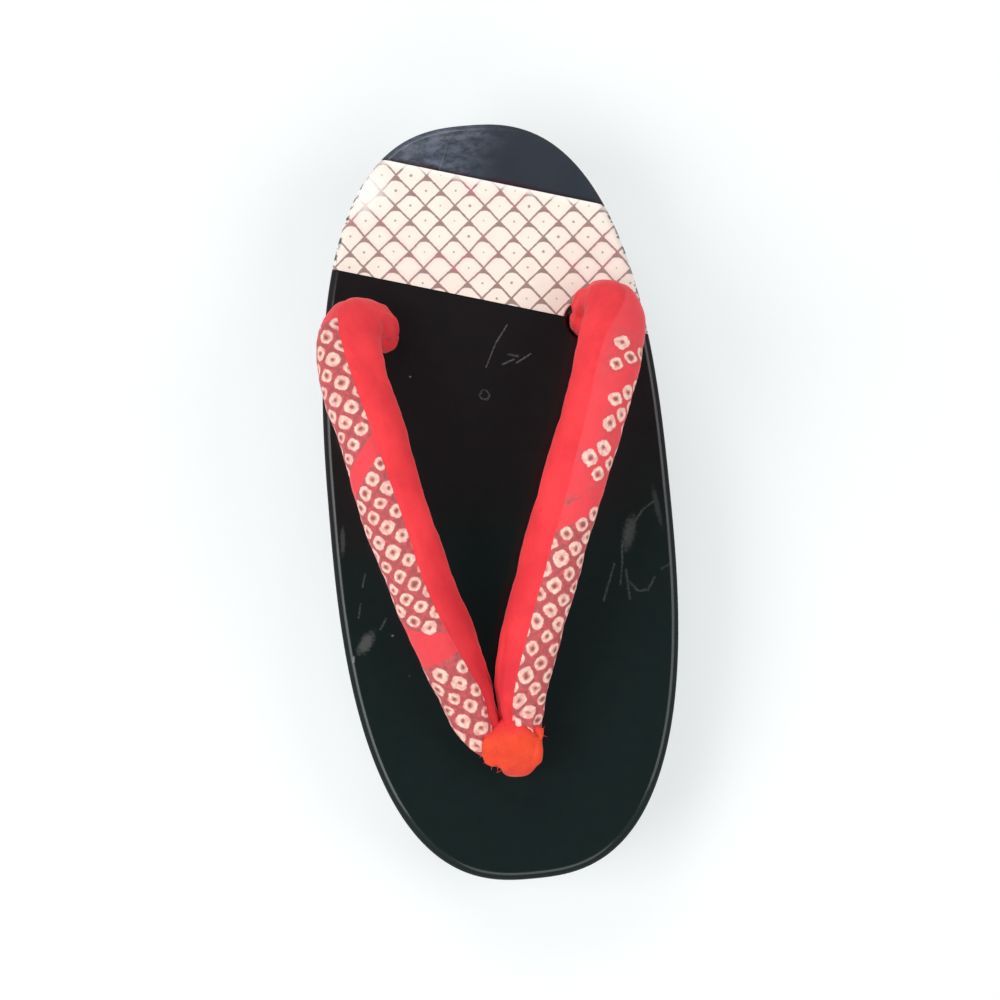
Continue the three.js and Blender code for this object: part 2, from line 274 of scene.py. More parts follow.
def even_angles():
    """Angles that space the outline's points evenly along it."""
    fine = np.linspace(0, 2 * np.pi, 20001)
    x, y = outline(0, fine)
    walked = np.concatenate([[0], np.cumsum(np.hypot(np.diff(x), np.diff(y)))])
    return np.interp(np.arange(OUTLINE_POINTS) / OUTLINE_POINTS * walked[-1], walked, fine)


def outline(inset, angles):
    x = signed_power(np.cos(angles), 2 / OUTLINE_POWER) * (HALF_WIDTH - inset)
    y = signed_power(np.sin(angles), 2 / OUTLINE_POWER) * (HALF_LENGTH - inset)
    return x * (1 - TOE_FULLNESS * y / HALF_LENGTH), y


def sole_blank(angles, skin=0):
    """The sole before its underside is cut; skin makes it smaller at its bed and walls."""
    rings = [
        (WALL_TAPER + BOTTOM_EDGE + skin, lambda y: 0 * y),
        (WALL_TAPER + skin, lambda y: 0 * y + BOTTOM_EDGE),
    ]
    edge = TOP_EDGE - skin
    for turn in np.linspace(0, np.pi / 2, RIM_STEPS):
        inset = skin + edge * (1 - math.cos(turn))
        drop = skin + edge * (1 - math.sin(turn))
        rings.append((inset, lambda y, drop=drop: bed_height(y) - drop))
    points = []
    for inset, height in rings:
        x, y = outline(inset, angles)
        points += np.column_stack([x, y, height(y)]).tolist()
    return add_mesh("blank", points, loft_faces(len(rings), len(angles)))


def rounded(corners):
    """Closed outline through corners (y, z, round), each cut back by its own round."""
    outline_points = []
    for i, (y, z, cut) in enumerate(corners):
        here = np.array([y, z], float)
        before = np.array(corners[i - 1][:2], float)
        after = np.array(corners[(i + 1) % len(corners)][:2], float)
        start = here + unit(before - here) * cut
        end = here + unit(after - here) * cut
        shares = np.linspace(0, 1, ROUND_STEPS) if cut else [0]
        for t in shares:
            outline_points.append((1 - t) ** 2 * start + 2 * t * (1 - t) * here + t * t * end)
    return outline_points


def side_profile():
    """Side view of the sole, run right across its width."""
    toe_y = -HALF_LENGTH - OVERRUN
    heel_y = HALF_LENGTH + OVERRUN
    front_face_y = FRONT_BLOCK_LENGTH - HALF_LENGTH
    heel_face_y = HALF_LENGTH - HEEL_BLOCK_LENGTH
    spring_y = TOE_SPRING_LENGTH - HALF_LENGTH
    spring_rise = (TOE_HEIGHT - TOE_WALL) * (1 + OVERRUN / TOE_SPRING_LENGTH * 2)
    bend_y = (toe_y + spring_y) / 2
    heel_rise = HEEL_SPRING_HEIGHT * (1 + OVERRUN / HEEL_SPRING_LENGTH)
    top = HEEL_HEIGHT + TOP_EDGE
    front_ceiling = bed_height(front_face_y) - BOARD_THICKNESS
    heel_ceiling = bed_height(heel_face_y) - BOARD_THICKNESS
    shape = rounded([
        (toe_y, spring_rise, 0),
        (bend_y, 0, spring_y - bend_y),
        (front_face_y, 0, BLOCK_CORNER),
        (front_face_y + FRONT_FACE_SLOPE, front_ceiling, ARCH_ROUND),
        (heel_face_y, heel_ceiling, HEEL_FACE_ROUND),
        (heel_face_y, 0, BLOCK_CORNER / 2),
        (HALF_LENGTH - HEEL_SPRING_LENGTH, 0, HEEL_SPRING_LENGTH),
        (heel_y, heel_rise, 0),
        (heel_y, top, 0),
        (toe_y, top, 0),
    ])
    reach = HALF_WIDTH + OVERRUN
    points = [(side * reach, y, z) for side in (-1, 1) for y, z in shape]
    return add_mesh("profile", points, loft_faces(2, len(shape)))


def bore(x, y, across):
    """Round cutter from the ground up that opens at the bed with a rounded rim."""
    turns = np.linspace(0, np.pi / 2, 6)
    radii = [0, *HOLE_RIM * (1 - np.cos(turns)), 2 * HOLE_RIM]
    drops = [None, *HOLE_RIM * (1 - np.sin(turns)), -HOLE_RIM]
    around = circle(BORE_POINTS)
    points = []
    for wider, drop in zip(radii, drops):
        px = x + (across / 2 + wider) * np.cos(around)
        py = y + (across / 2 + wider) * np.sin(around)
        pz = 0 * px if drop is None else bed_height(py) - drop
        points += np.column_stack([px, py, pz]).tolist()
    return add_mesh("bore", points, loft_faces(len(radii), len(around)))


def pocket():
    around = circle(POCKET_POINTS)
    radius = KNOT_ACROSS / 2 + POCKET_PLAY
    points = []
    for spread, z in [(1, -OVERRUN), (1, 0), (0, 1), (0, POCKET_DEPTH - 1), (-1, POCKET_DEPTH)]:
        px = (radius + spread) * np.cos(around)
        py = FRONT_HOLE_Y + (radius + spread) * np.sin(around)
        points += np.column_stack([px, py, np.full_like(px, z)]).tolist()
    return add_mesh("pocket", points, loft_faces(5, len(around)))


def band_slab(width):
    """Slanted slab that takes in the band's stretch of the bed and its rim."""
    points = []
    for z in (-TOP_EDGE, OVERRUN):
        for x, y in [(-WIDTH, -width / 2), (WIDTH, -width / 2), (WIDTH, width / 2), (-WIDTH, width / 2)]:
            turned_x = x * math.cos(BAND_SLANT) + y * math.sin(BAND_SLANT)
            turned_y = -x * math.sin(BAND_SLANT) + y * math.cos(BAND_SLANT)
            turned_y += HALF_LENGTH - BAND_FROM_HEEL
            points.append((turned_x, turned_y, bed_height(turned_y) + z))
    return add_mesh("slab", points, loft_faces(2, 4))


def make_sole(angles):
    sole = sole_blank(angles)
    combine(sole, side_profile(), "INTERSECT")
    edge = sole.modifiers.new("edges", "BEVEL")
    edge.width = UNDER_EDGE * MM
    edge.segments = UNDER_EDGE_STEPS
    edge.limit_method = "ANGLE"
    edge.angle_limit = math.radians(SHARP_FROM)
    edge.use_clamp_overlap = False
    apply_modifiers(sole)
    recess = band_slab(BAND_WIDTH + 2 * BAND_GAP)
    combine(recess, sole_blank(angles, RECESS_DEPTH), "DIFFERENCE")
    combine(sole, recess, "DIFFERENCE")
    combine(sole, pocket(), "DIFFERENCE")
    combine(sole, bore(0, FRONT_HOLE_Y, FRONT_HOLE), "DIFFERENCE")
    for side in (-1, 1):
        combine(sole, bore(side * REAR_HOLE_SPACING / 2, REAR_HOLE_Y, REAR_HOLE), "DIFFERENCE")
    smooth(sole)
    flatten(sole)
    sole.name = "lacquered_sole"
    return sole


def make_band(angles):
    band = sole_blank(angles)
    combine(band, sole_blank(angles, BAND_THICKNESS), "DIFFERENCE")
    combine(band, band_slab(BAND_WIDTH), "INTERSECT")
    hole = bore(REAR_HOLE_SPACING / 2, REAR_HOLE_Y, REAR_HOLE + 2 * HOLE_RIM)
    combine(band, hole, "DIFFERENCE")
    smooth(band)
    flatten(band)
    band.name = "printed_band"
    return band


# Straps

def through(points, shares, power):
    """Points of a Catmull-Rom curve at shares of its way; a power of 0.5 is centripetal."""
    points = np.asarray(points, float)
    padded = np.vstack([2 * points[0] - points[1], points, 2 * points[-1] - points[-2]])
    spans = np.linalg.norm(np.diff(padded, axis=0), axis=1) ** power
    place = np.asarray(shares) * (len(points) - 1)
    first = np.clip(place.astype(int), 0, len(points) - 2)
    t = (place - first)[:, None]
    p0, p1, p2, p3 = (padded[first + k] for k in range(4))
    d0, d1, d2 = (spans[first + k][:, None] for k in range(3))
    out = ((p1 - p0) / d0 - (p2 - p0) / (d0 + d1) + (p2 - p1) / d1) * d1
    into = ((p2 - p1) / d1 - (p3 - p1) / (d1 + d2) + (p3 - p2) / d2) * d1
    cubic = 2 * p1 - 2 * p2 + out + into
    square = -3 * p1 + 3 * p2 - 2 * out - into
    return p1 + out * t + square * t ** 2 + cubic * t ** 3


def strap_stations(table, side):
    """Middles, widths, thicknesses and seam turns of a strap, with its tail down the hole."""
    rows = np.array(table)
    y = FRONT_HOLE_Y + rows[:, 0] * (REAR_HOLE_Y - FRONT_HOLE_Y)
    z = bed_height(y) + rows[:, 2] * JOINT_LIFT + rows[:, 3] * STRAP_LIFT
    middles = np.column_stack([rows[:, 1] * REAR_HOLE_SPACING / 2, y, z])
    sizes = np.column_stack([rows[:, 4] * STRAP_WIDTH, rows[:, 5] * STRAP_THICKNESS, rows[:, 6]])
    bed = bed_height(REAR_HOLE_Y)
    tail = REAR_HOLE - 2 * TAIL_PLAY
    for height in (bed + TAIL_RISE, bed - TAIL_RISE, bed - BOARD_THICKNESS):
        middles = np.vstack([middles, (side * REAR_HOLE_SPACING / 2, REAR_HOLE_Y, height)])
        sizes = np.vstack([sizes, (tail, tail, rows[-1, 6])])
    return middles, sizes


# Creases pressed into the cloth. Columns: distance from the front end, distance
# outward from the seam, half length, half width, depth, and lean in degrees.
LEFT_CREASES = [
    (171, -9, 9, 1.3, 1.5, 70),
    (163, -11, 8, 1.2, 1.1, 62),
    (156, -8, 7, 1.1, 0.6, 55),
    (166, 6, 8, 1.4, 0.7, 105),
    (150, 10, 9, 1.6, 0.5, 112),
    (24, -6, 9, 1.2, 0.7, 12),
    (30, 6, 11, 1.3, 0.8, -8),
    (40, -9, 12, 1.6, 0.45, 6),
    (66, -7, 16, 2.2, 0.3, 9),
    (92, 9, 14, 2.4, 0.35, -12),
    (118, -8, 15, 2.2, 0.3, 10),
]
RIGHT_CREASES = [
    (160, -9, 9, 1.3, 1.3, 65),
    (152, -7, 7, 1.2, 0.7, 50),
    (163, 7, 8, 1.4, 0.9, 110),
    (150, 11, 8, 1.6, 0.6, 118),
    (22, 5, 10, 1.2, 0.8, 8),
    (28, -6, 9, 1.2, 0.7, -10),
    (44, 8, 13, 1.8, 0.4, 12),
    (72, -8, 16, 2.2, 0.3, -8),
    (100, 9, 14, 2.3, 0.35, 14),
    (126, -7, 13, 2.2, 0.3, -12),
]
STUFFING_WAVES = [
    # along and around in turns a millimetre, start in turns, height in millimetres
    (0.031, 0.012, 0.1, 0.13),
    (0.047, -0.021, 0.6, 0.1),
    (0.083, 0.034, 0.35, 0.07),
    (0.129, -0.052, 0.8, 0.05),
    (0.210, 0.090, 0.2, 0.03),
]
WAVE_SHIFT = 0.3  # turns by which the waves of the two straps differ
GATHER = 0.42  # depth of the gathers at a strap's two ends
GATHERS = 9
# Where gathers fade in or out and the tail enters its hole, from the strap's nearer end
GATHERED_FRONT = (8, 34)
GATHERED_REAR = (34, 18)
IN_HOLE = (19, 14)
HOLE_PINCH = 0.25
SEAM_DEPTH = 0.55
SEAM_HALF_WIDTH = 0.8

# Where the rings of the print lie. Each stretch between two gaps has rows of distance
# from the front end, count of rings, and distance outward of the even column.
LEFT_PRINT = [
    [(0, -4.9, 3.5), (15.1, -3, 3.8), (22.9, -2, 5.2), (39.3, 0, 4.8), (52, 1.55, 4.8)],
    [(38, -8.8, 4.2), (50.2, -7, 4.1), (63.4, -5, 2.8), (84.5, -2, 1), (97.9, 0, 0.9), (104, 0.9, 0.9)],
    [(92, -6.5, 2.6), (108, -4, 2.8), (134.6, 0, 4), (182, 7.2, 4)],
]
RIGHT_PRINT = [
    [(0, -9, 4), (15.6, -7, 5), (23.2, -6, 6.3), (40, -4, 6.1), (48.2, -3, 4.7), (55.2, -2, 3.7),
     (63.5, -1, 3.7), (70.5, 0, 3.1), (92, 3, 3.1)],
    [(70, -2.7, 7.8), (89.1, 0, 7.8), (96.7, 1, 7.8), (109.4, 3, 7.8), (121, 4.9, 7.8)],
    [(107, -1.85, 5.5), (118.6, 0, 5.5), (124.9, 1, 5.5), (182, 10, 5.5)],
]
# Gaps without rings. Columns: distance from the front end at the seam, how much it grows
# for each millimetre outward, half width at the seam, and how much that grows.
LEFT_GAPS = [
    (43.5, 0.15, 3.2, 0.3),
    (103.6, -0.75, 2.9, 0),
]
RIGHT_GAPS = [
    (74, 0.8, 3.6, 0),
    (109.5, 0.65, 2.8, 0),
]
# Plain cloth beside the rings. Columns: from and to along, and how far outward.
LEFT_PLAIN = [
    (139, 200, 40),
]
RIGHT_PLAIN = [
    (82, 90.5, 5.6),
    (95, 112, 5.6),
    (112, 129, 2),
    (129, 200, 40),
]
# From here to the rear end rings lie on plain cloth, without the darker net between them
LEFT_NET_END = 200
RIGHT_NET_END = 80
COLUMN_SPACING = 3.8
ROW_SPACING = 6.8  # about what one count of rings takes along the strap


def print_place(walked, outward, stretches, gaps):
    """Place in the print; rings lie where its sum and its difference are both whole."""
    stretch = np.zeros(outward.shape, int)
    for start, slant, _, _ in gaps:
        stretch += walked > start + slant * outward
    count, even = np.zeros_like(outward), np.zeros_like(outward)
    for k, rows in enumerate(stretches):
        along, counts, evens = np.array(rows).T
        count[stretch == k] = np.interp(walked, along, counts)
        even[stretch == k] = np.interp(walked, along, evens)
    return count, (outward - even) / (2 * COLUMN_SPACING)


def crease_depth(walked, outward, creases):
    depth = np.zeros_like(outward)
    for at, beside, half_length, half_width, deep, lean in creases:
        lean = math.radians(lean)
        along = walked - at
        across = outward - beside
        run = along * math.cos(lean) + across * math.sin(lean)
        off = -along * math.sin(lean) + across * math.cos(lean)
        depth += deep * np.exp(-(off / half_width) ** 2 - (run / half_length) ** 4)
    return depth


def make_strap(name, table, side, creases, stretches, gaps):
    middles, sizes = strap_stations(table, side)
    shares = np.linspace(0, 1, STRAP_RINGS)
    path = through(middles, shares, 0.5)
    size = through(sizes, shares, 0)
    walked = np.concatenate([[0], np.cumsum(np.linalg.norm(np.diff(path, axis=0), axis=1))])
    tangents = unit(np.gradient(path, walked, axis=0))
    across = np.cross(tangents[0], (0, 0, 1))
    # turns runs round the section from the underside, over the outer side, and back
    turns = np.linspace(-np.pi, np.pi, STRAP_SIDES + 1)
    points, outward_all, printed_all = [], [], []
    for i in range(STRAP_RINGS):
        across = unit(across - tangents[i] * np.dot(across, tangents[i]))
        up = np.cross(across, tangents[i])
        wide, thick, seam = size[i]
        sideways = signed_power(np.sin(turns), 2 / SECTION_POWER) * wide / 2 * side
        upward = signed_power(np.cos(turns), 2 / SECTION_POWER) * thick / 2
        ring = path[i] + sideways[:, None] * across + upward[:, None] * up
        around = np.concatenate([[0], np.cumsum(np.linalg.norm(np.diff(ring, axis=0), axis=1))])
        outward = around - np.interp(math.radians(seam), turns, around)
        normal = unit(ring - path[i])
        here = np.full_like(outward, walked[i])
        height = -crease_depth(here, outward, creases)
        for along, about, start, tall in STUFFING_WAVES:
            turn = along * here + about * outward * side + start + WAVE_SHIFT * side
            height += tall * np.sin(2 * np.pi * turn)
        ends = 1 - smoothstep(here, *GATHERED_FRONT)
        ends += smoothstep(here, *(walked[-1] - np.array(GATHERED_REAR)))
        height += GATHER * ends * np.cos(turns * GATHERS + 0.8 * np.sin(turns * 2) + here * 0.05)
        height -= SEAM_DEPTH * np.exp(-(outward / SEAM_HALF_WIDTH) ** 2)
        in_hole = smoothstep(here, *(walked[-1] - np.array(IN_HOLE)))
        height = height * (1 - (1 - HOLE_PINCH) * in_hole) - HOLE_PINCH * in_hole
        height[-1] = height[0]
        points.append((ring + normal * height[:, None])[:-1])
        outward_all.append(outward)
        printed_all.append(print_place(walked[i], outward, stretches, gaps))
    faces = loft_faces(STRAP_RINGS, STRAP_SIDES)
    if side < 0:
        faces = [tuple(reversed(face)) for face in faces]
    cloth_map, print_map = [], []
    for face in faces:
        wraps = len(face) == 4 and {p % STRAP_SIDES for p in face} == {0, STRAP_SIDES - 1}
        for p in face:
            i, j = divmod(p, STRAP_SIDES)
            j = STRAP_SIDES if wraps and j == 0 else j
            cloth_map.append((walked[i], outward_all[i][j]))
            print_map.append((printed_all[i][0][j], printed_all[i][1][j]))
    strap = add_mesh(name, np.vstack(points), faces, {"cloth": cloth_map, "print": print_map})
    smooth(strap, SHARP_FROM)
    return strap


# Front thong

# Turn is 0 at the toe side, 90 on top, 180 in the crotch and 270 underneath. Left and
# right are the edges in X; puff is the thickness as a share of THONG_THICKNESS.
THONG = [
    # turn, left, right, puff
    (0, -6.8, 1.2, 1),
    (16, -7, 2.4, 1.05),
    (30, -7.4, 3.6, 1.1),
    (38, -7.9, 4.4, 1.12),
    (43, -10.4, 4.8, 1.15),
    (50, -12, 5, 1.15),
    (68, -12.6, 5.3, 1.2),
    (90, -12.6, 5.2, 1.2),
    (103, -11.9, 5.8, 1.2),
    (116, -10.7, 6.1, 1.15),
    (126, -9.4, 4.4, 1.1),
    (142, -7, 1.9, 1.1),
    (160, -6, 1, 1.05),
    (180, -6, 0, 1),
    (225, -7, 1.5, 0.95),
    (270, -8, 3, 0.95),
    (315, -7.4, 2.2, 1),
]
THONG_WAVES = [
    (3, 0.5, 0.1, 0.16),
    (5, -0.31, 0.45, 0.12),
    (8, 0.62, 0.7, 0.1),
    (13, -0.9, 0.25, 0.06),
]
# Folds of the thong. Columns: turn, x, half turn, half width, depth, and how far
# the fold moves in x over ten degrees.
THONG_CREASES = [
    (112, 2.9, 19, 0.7, 1.9, -0.9),
    (88, 3.2, 16, 0.6, 1, 0.5),
    (44, -8.6, 9, 0.7, 1.3, -0.5),
    (74, -7.5, 16, 0.9, 0.55, 0.6),
    (70, -2.5, 26, 1.1, 0.6, -0.5),
    (56, 1.8, 18, 0.8, 0.8, 0.5),
    (130, -4.6, 14, 0.7, 0.8, 0.7),
    (100, -6.2, 10, 0.6, 0.6, 0.9),
]
# Loose threads at the thong's cut edges. Columns: root x, y and height over the bed,
# heading in degrees, curl in degrees, and length.
FRAYS = [
    (-9.4, -77.2, 12.6, 236, 40, 3.4),
    (-10.6, -76.6, 13.4, 218, -35, 2.6),
    (-8, -78.2, 11.4, 250, 30, 2.9),
    (-6.6, -79.4, 10.4, 226, -50, 3.1),
    (-11.8, -74.9, 13.8, 196, 30, 2.1),
    (5, -69.6, 14.6, 24, 40, 2.4),
    (5.4, -71, 14.4, -8, -30, 2),
    (-2.6, -80.4, 10.2, 262, 35, 2.1),
    (1.4, -79.8, 10.6, 300, -30, 1.9),
]
FRAY_RINGS = 8
FRAY_SIDES = 5
FRAY_RADIUS = 0.15
FRAY_TAPER = 0.75
THONG_POWER = 2.4


def make_frays():
    points, faces = [], []
    shares = np.linspace(0, 1, FRAY_RINGS)
    around = circle(FRAY_SIDES)
    for x, y, height, heading, curl, length in FRAYS:
        place = np.array((x, y, bed_height(y) + height))
        first = len(points)
        for share in shares:
            turn = math.radians(heading + curl * share)
            forward = unit(np.array((math.cos(turn), math.sin(turn), -0.25 - 0.5 * share)))
            beside = unit(np.cross(forward, (0, 0, 1)))
            over = np.cross(beside, forward)
            radius = FRAY_RADIUS * (1 - FRAY_TAPER * share)
            ring = place + radius * (np.cos(around)[:, None] * beside + np.sin(around)[:, None] * over)
            points += ring.tolist()
            place = place + forward * length / FRAY_RINGS
        faces += [tuple(first + p for p in face) for face in loft_faces(FRAY_RINGS, FRAY_SIDES)]
    frays = add_mesh("thong_frays", points, faces)
    smooth(frays, SHARP_FROM)
    return frays


def make_thong():
    half_reach = THONG_REACH / 2
    half_tall = (JOINT_THICKNESS + THONG_THICKNESS) / 2 + CLEARANCE
    middle_z = bed_height(FRONT_HOLE_Y) + JOINT_LIFT
    rows = np.array(THONG)
    looped = np.vstack([rows[-1] - (360, 0, 0, 0), rows, rows[0] + (360, 0, 0, 0)])
    around = circle(THONG_SIDES)
    points = []
    for turn in np.arange(THONG_RINGS) / THONG_RINGS * 360:
        left, right, puff = (np.interp(turn, looped[:, 0], looped[:, k]) for k in (1, 2, 3))
        angle = math.radians(turn)
        outward = np.array([0, -math.cos(angle), math.sin(angle)])
        middle = np.array([(left + right) / 2, FRONT_HOLE_Y, middle_z])
        middle += outward * (0, half_reach, half_tall)
        sideways = signed_power(np.cos(around), 2 / THONG_POWER) * (right - left) / 2
        upward = -signed_power(np.sin(around), 2 / THONG_POWER) * THONG_THICKNESS / 2 * puff
        lift = np.zeros_like(around)
        for along, across, start, tall in THONG_WAVES:
            lift += tall * np.sin(along * angle + across * sideways + 2 * np.pi * start)
        for at, beside, half_turn, half_width, deep, slant in THONG_CREASES:
            off = middle[0] + sideways - beside - (turn - at) / 10 * slant
            lift -= deep * np.exp(-(off / half_width) ** 2 - ((turn - at) / half_turn) ** 2)
        upward += lift * (upward > 0)
        ring = middle + sideways[:, None] * (1, 0, 0) + upward[:, None] * outward
        points += ring.tolist()
    thong = add_mesh("thong", points, loft_faces(THONG_RINGS, THONG_SIDES, closed=True))
    smooth(thong, SHARP_FROM)
    return thong


# Knots

CORD_TURN = 7
CORD_STRANDS = 3
CORD_SIDES = 24
CORD_LOBES = 0.13
STEM_POINTS = 40
KNOT_POINTS = 200
KNOT_SWELL = 1.04


def twisted_cord(name, path, radius, closed=False):
    """Twisted cord along a path of points, its strands showing as lobes of the section."""
    path = np.asarray(path, float)
    count = len(path)
    if closed:
        tangents = np.roll(path, -1, axis=0) - np.roll(path, 1, axis=0)
        steps = np.linalg.norm(np.roll(path, -1, axis=0) - path, axis=1)
    else:
        tangents = np.gradient(path, axis=0)
        steps = np.linalg.norm(np.diff(path, axis=0), axis=1)
    tangents = unit(tangents)
    total = steps.sum()
    walked = np.concatenate([[0], np.cumsum(steps)])[:count]
    turns = round(total / CORD_TURN)
    around = circle(CORD_SIDES)
    normal = np.cross(tangents[0], (0.3, 0.2, 1))
    frames = []
    for i in range(count):
        normal = unit(normal - tangents[i] * np.dot(normal, tangents[i]))
        frames.append(normal)
    slip = 0
    if closed:
        last = unit(frames[-1] - tangents[0] * np.dot(frames[-1], tangents[0]))
        slip = math.atan2(np.dot(np.cross(last, frames[0]), tangents[0]), np.dot(last, frames[0]))
    points = []
    for i in range(count):
        binormal = np.cross(tangents[i], frames[i])
        angle = around + slip * walked[i] / total
        twist = around + 2 * np.pi * turns * walked[i] / total
        lobes = 1 - CORD_LOBES * (1 - np.abs(np.cos(CORD_STRANDS / 2 * twist)))
        reach = radius * lobes
        points += (path[i] + (reach * np.cos(angle))[:, None] * frames[i]
                   + (reach * np.sin(angle))[:, None] * binormal).tolist()
    return add_mesh(name, points, loft_faces(count, CORD_SIDES, closed))


def make_knot(name, x, y, ceiling, tilt):
    radius = (KNOT_ACROSS - KNOT_CORD) / 3
    u = 2 * circle(KNOT_POINTS)
    reach = radius * (2 + np.cos(1.5 * u)) / 2
    path = np.column_stack([reach * np.cos(u), reach * np.sin(u), radius * np.sin(1.5 * u) / 2])
    knot = twisted_cord(name, path, KNOT_CORD / 2 * KNOT_SWELL, closed=True)
    half_tall = (radius + KNOT_CORD) / 2
    place = Matrix.Translation(Vector((x, y, ceiling - CLEARANCE - half_tall)) * MM)
    knot.data.transform(place @ Matrix.Rotation(tilt, 4, "X"))
    smooth(knot, SHARP_FROM)
    return knot


# Materials

def linear(red, green, blue):
    """A colour seen on screen, 0 to 255, as the renderer's own values."""
    def one(value):
        value /= 255
        return value / 12.92 if value <= 0.04045 else ((value + 0.055) / 1.055) ** 2.4
    return (one(red), one(green), one(blue), 1)


class Field:
    """An output of a node, for sums and products of values that vary over a surface."""

    def __init__(self, shade, socket):
        self.shade = shade
        self.socket = socket

    def __add__(self, other):
        return self.shade.math("ADD", self, other)

    def __sub__(self, other):
        return self.shade.math("SUBTRACT", self, other)

    def __rsub__(self, other):
        return self.shade.math("SUBTRACT", other, self)

    def __mul__(self, other):
        return self.shade.math("MULTIPLY", self, other)

    def __pow__(self, other):
        return self.shade.math("POWER", self, other)

    def __gt__(self, other):
        return self.shade.math("GREATER_THAN", self, other)

    def __abs__(self):
        return self.shade.math("ABSOLUTE", self)

    __radd__ = __add__
    __rmul__ = __mul__

    def beside(self, key):
        """Another output of the same node."""
        return Field(self.shade, self.socket.node.outputs[key])


class Shade:
    """A material and short calls that add nodes to it and give back their fields."""

    def __init__(self, name):
        self.material = bpy.data.materials.new(name)
        self.material.use_nodes = True
        self.tree = self.material.node_tree
        self.surface = self.tree.nodes["Principled BSDF"]

    def node(self, kind, inputs=None, output=0, **settings):
        """Adds a node and gives back one of its outputs."""
        made = self.tree.nodes.new(kind)
        for key, value in settings.items():
            setattr(made, key, value)
        for key, value in (inputs or {}).items():
            self.put(value, made.inputs[key])
        return Field(self, made.outputs[output])

    def put(self, value, socket):
        if isinstance(value, Field):
            self.tree.links.new(value.socket, socket)
        else:
            socket.default_value = value

    def set(self, **values):
        for key, value in values.items():
            self.put(value, self.surface.inputs[key.replace("_", " ")])

    def math(self, operation, a, b=0.0, c=0.0, clamp=False):
        inputs = {0: a, 1: b, 2: c}
        return self.node("ShaderNodeMath", inputs, operation=operation, use_clamp=clamp)

    def least(self, a, b):
        return self.math("MINIMUM", a, b)

    def most(self, *values):
        found = values[0]
        for value in values[1:]:
            found = self.math("MAXIMUM", found, value)
        return found

    def vector(self, operation, a, b=(0, 0, 0), scale=1.0):
        inputs = {0: a, "Scale": scale} if operation == "SCALE" else {0: a, 1: b}
        output = "Value" if operation in ("LENGTH", "DOT_PRODUCT", "DISTANCE") else "Vector"
        return self.node("ShaderNodeVectorMath", inputs, output, operation=operation)

    def split(self, vector):
        x = self.node("ShaderNodeSeparateXYZ", {0: vector})
        return x, x.beside("Y"), x.beside("Z")

    def join(self, x, y, z=0.0):
        return self.node("ShaderNodeCombineXYZ", {0: x, 1: y, 2: z})

    def smooth(self, value, low, high, to_low=0.0, to_high=1.0):
        inputs = {"Value": value, "From Min": low, "From Max": high, "To Min": to_low, "To Max": to_high}
        return self.node("ShaderNodeMapRange", inputs, interpolation_type="SMOOTHSTEP")

    def mix(self, share, a, b):
        return self.node("ShaderNodeMix", {0: share, 6: a, 7: b}, 2, data_type="RGBA")

    def noise(self, position, scale, detail=3.0, roughness=0.5, color=False):
        inputs = {"Vector": position, "Scale": scale, "Detail": detail, "Roughness": roughness}
        return self.node("ShaderNodeTexNoise", inputs, "Color" if color else "Fac")

    def shifted(self, position, noise_at, scale, reach):
        """A position moved to and fro by noise."""
        shift = self.vector("SUBTRACT", self.noise(noise_at, scale, 2, color=True), (0.5, 0.5, 0.5))
        return self.vector("ADD", position, self.vector("SCALE", shift, scale=reach))

    def random(self, position):
        return self.node("ShaderNodeTexWhiteNoise", {"Vector": position}, "Value", noise_dimensions="3D")

    def bump(self, height, distance, strength=1.0, normal=None):
        inputs = {"Height": height, "Distance": distance * MM, "Strength": strength}
        if normal:
            inputs["Normal"] = normal
        return self.node("ShaderNodeBump", inputs)

    def place(self):
        """Position on the object in millimetres."""
        found = self.node("ShaderNodeTexCoord", output="Object")
        return self.vector("SCALE", found, scale=1 / MM)

    def cloth(self):
        """Distance along a strap and outward from its seam, in millimetres."""
        return self.node("ShaderNodeUVMap", uv_map="cloth")


# Scratches of the bed. Columns: from x, y, to x, y, half width, and strength.
SCRATCHES = [
    (6.8, 51.7, 2.8, 46.3, 0.22, 0.6),
    (2.8, 46.3, -0.5, 39.8, 0.2, 0.5),
    (4.3, 40.1, 7.9, 41.3, 0.3, 0.6),
    (6.4, 42.9, 9.2, 42.2, 0.35, 0.45),
    (8.6, 40.2, 13, 42.4, 0.26, 0.65),
    (-5.8, 107.4, -9.1, 99.5, 0.2, 0.6),
    (-18, 104.8, -8.9, 109, 1.3, 0.3),
    (-8.9, 109, 3.6, 109.2, 0.9, 0.35),
    (45.8, -4.3, 42.2, -6.6, 0.3, 0.3),
    (42.2, -6.6, 38, -11.6, 0.35, 0.38),
    (38, -11.6, 34.9, -17.2, 0.4, 0.4),
    (34.9, -17.2, 34.6, -22, 0.35, 0.34),
    (34.6, -22, 33.4, -28.4, 0.3, 0.26),
    (32.2, -22, 28, -32.6, 0.35, 0.3),
    (35.5, -24, 35.9, -32.6, 0.4, 0.26),
    (36.3, -27.7, 38.6, -30.6, 0.4, 0.28),
    (38.6, -30.6, 41.6, -30.4, 0.4, 0.28),
    (41.6, -30.4, 43.8, -26.9, 0.35, 0.26),
    (46.2, -24.6, 48.8, -23.4, 0.35, 0.24),
    (-41.9, -18.4, -43, -22, 0.3, 0.3),
    (-44, -27, -45, -31, 0.3, 0.3),
    (-36.9, -31.9, -38.8, -35, 0.3, 0.4),
]
